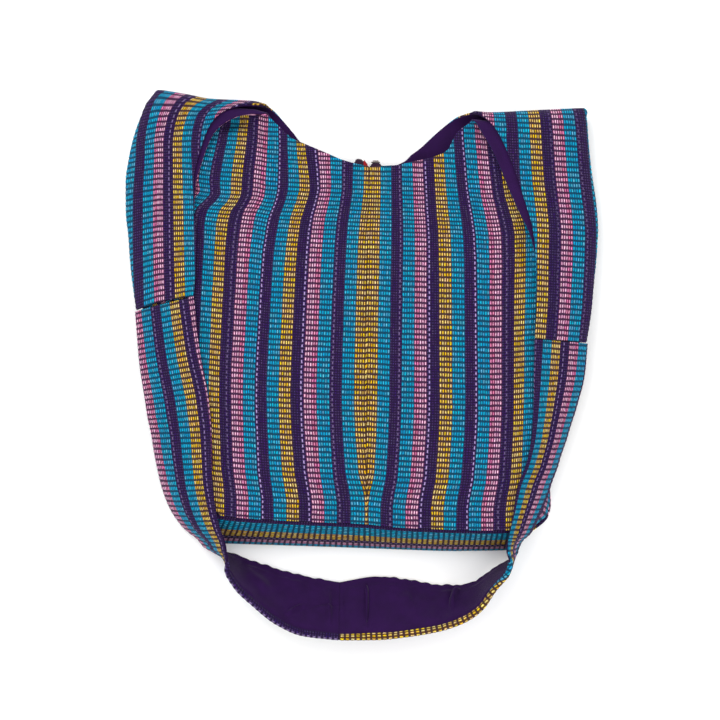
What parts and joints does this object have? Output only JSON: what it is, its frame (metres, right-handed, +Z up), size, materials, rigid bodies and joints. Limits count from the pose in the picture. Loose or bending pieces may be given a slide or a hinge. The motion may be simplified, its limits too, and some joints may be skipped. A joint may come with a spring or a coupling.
{
  "type": "cotton shoulder bag",
  "caption": "Slouchy shoulder bag of striped handwoven cotton lying flat, its wide strap folded forward over the front and looped past the bottom.",
  "frame": {"origin": "middle of the bottom of the whole bag's box, on the surface that the bag lies on", "axes": "+X to the right of the bag's front, +Y from the bag's bottom to its mouth, +Z up out of the front as the bag lies on its back"},
  "size_m": [0.4736, 0.5492, 0.0581],
  "materials": {
    "woven_cotton": "coarse handwoven cotton with raised ribs, in stripes of purple, blue, yellow and pink",
    "lining_cotton": "plain matte purple cotton",
    "zip_tape": "dark herringbone zip tape",
    "zip_metal": "worn grey zip metal"
  },
  "bodies": {
    "root": {"front_panel_left": "woven_cotton", "front_panel_right": "woven_cotton", "back_panel_left": "woven_cotton", "back_panel_right": "woven_cotton", "side_gusset_left": "woven_cotton", "bottom_gusset": "woven_cotton", "side_gusset_right": "woven_cotton", "strap_left": "woven_cotton", "strap_right": "woven_cotton", "lining_front_left": "lining_cotton", "lining_front_right": "lining_cotton", "lining_back_left": "lining_cotton", "lining_back_right": "lining_cotton", "strap_lining_left": "lining_cotton", "strap_lining_right": "lining_cotton", "zip_tape_front": "zip_tape", "zip_tape_back": "zip_tape", "zip_chain": "zip_metal", "zip_slider": "zip_metal"}
  },
  "joints": []
}
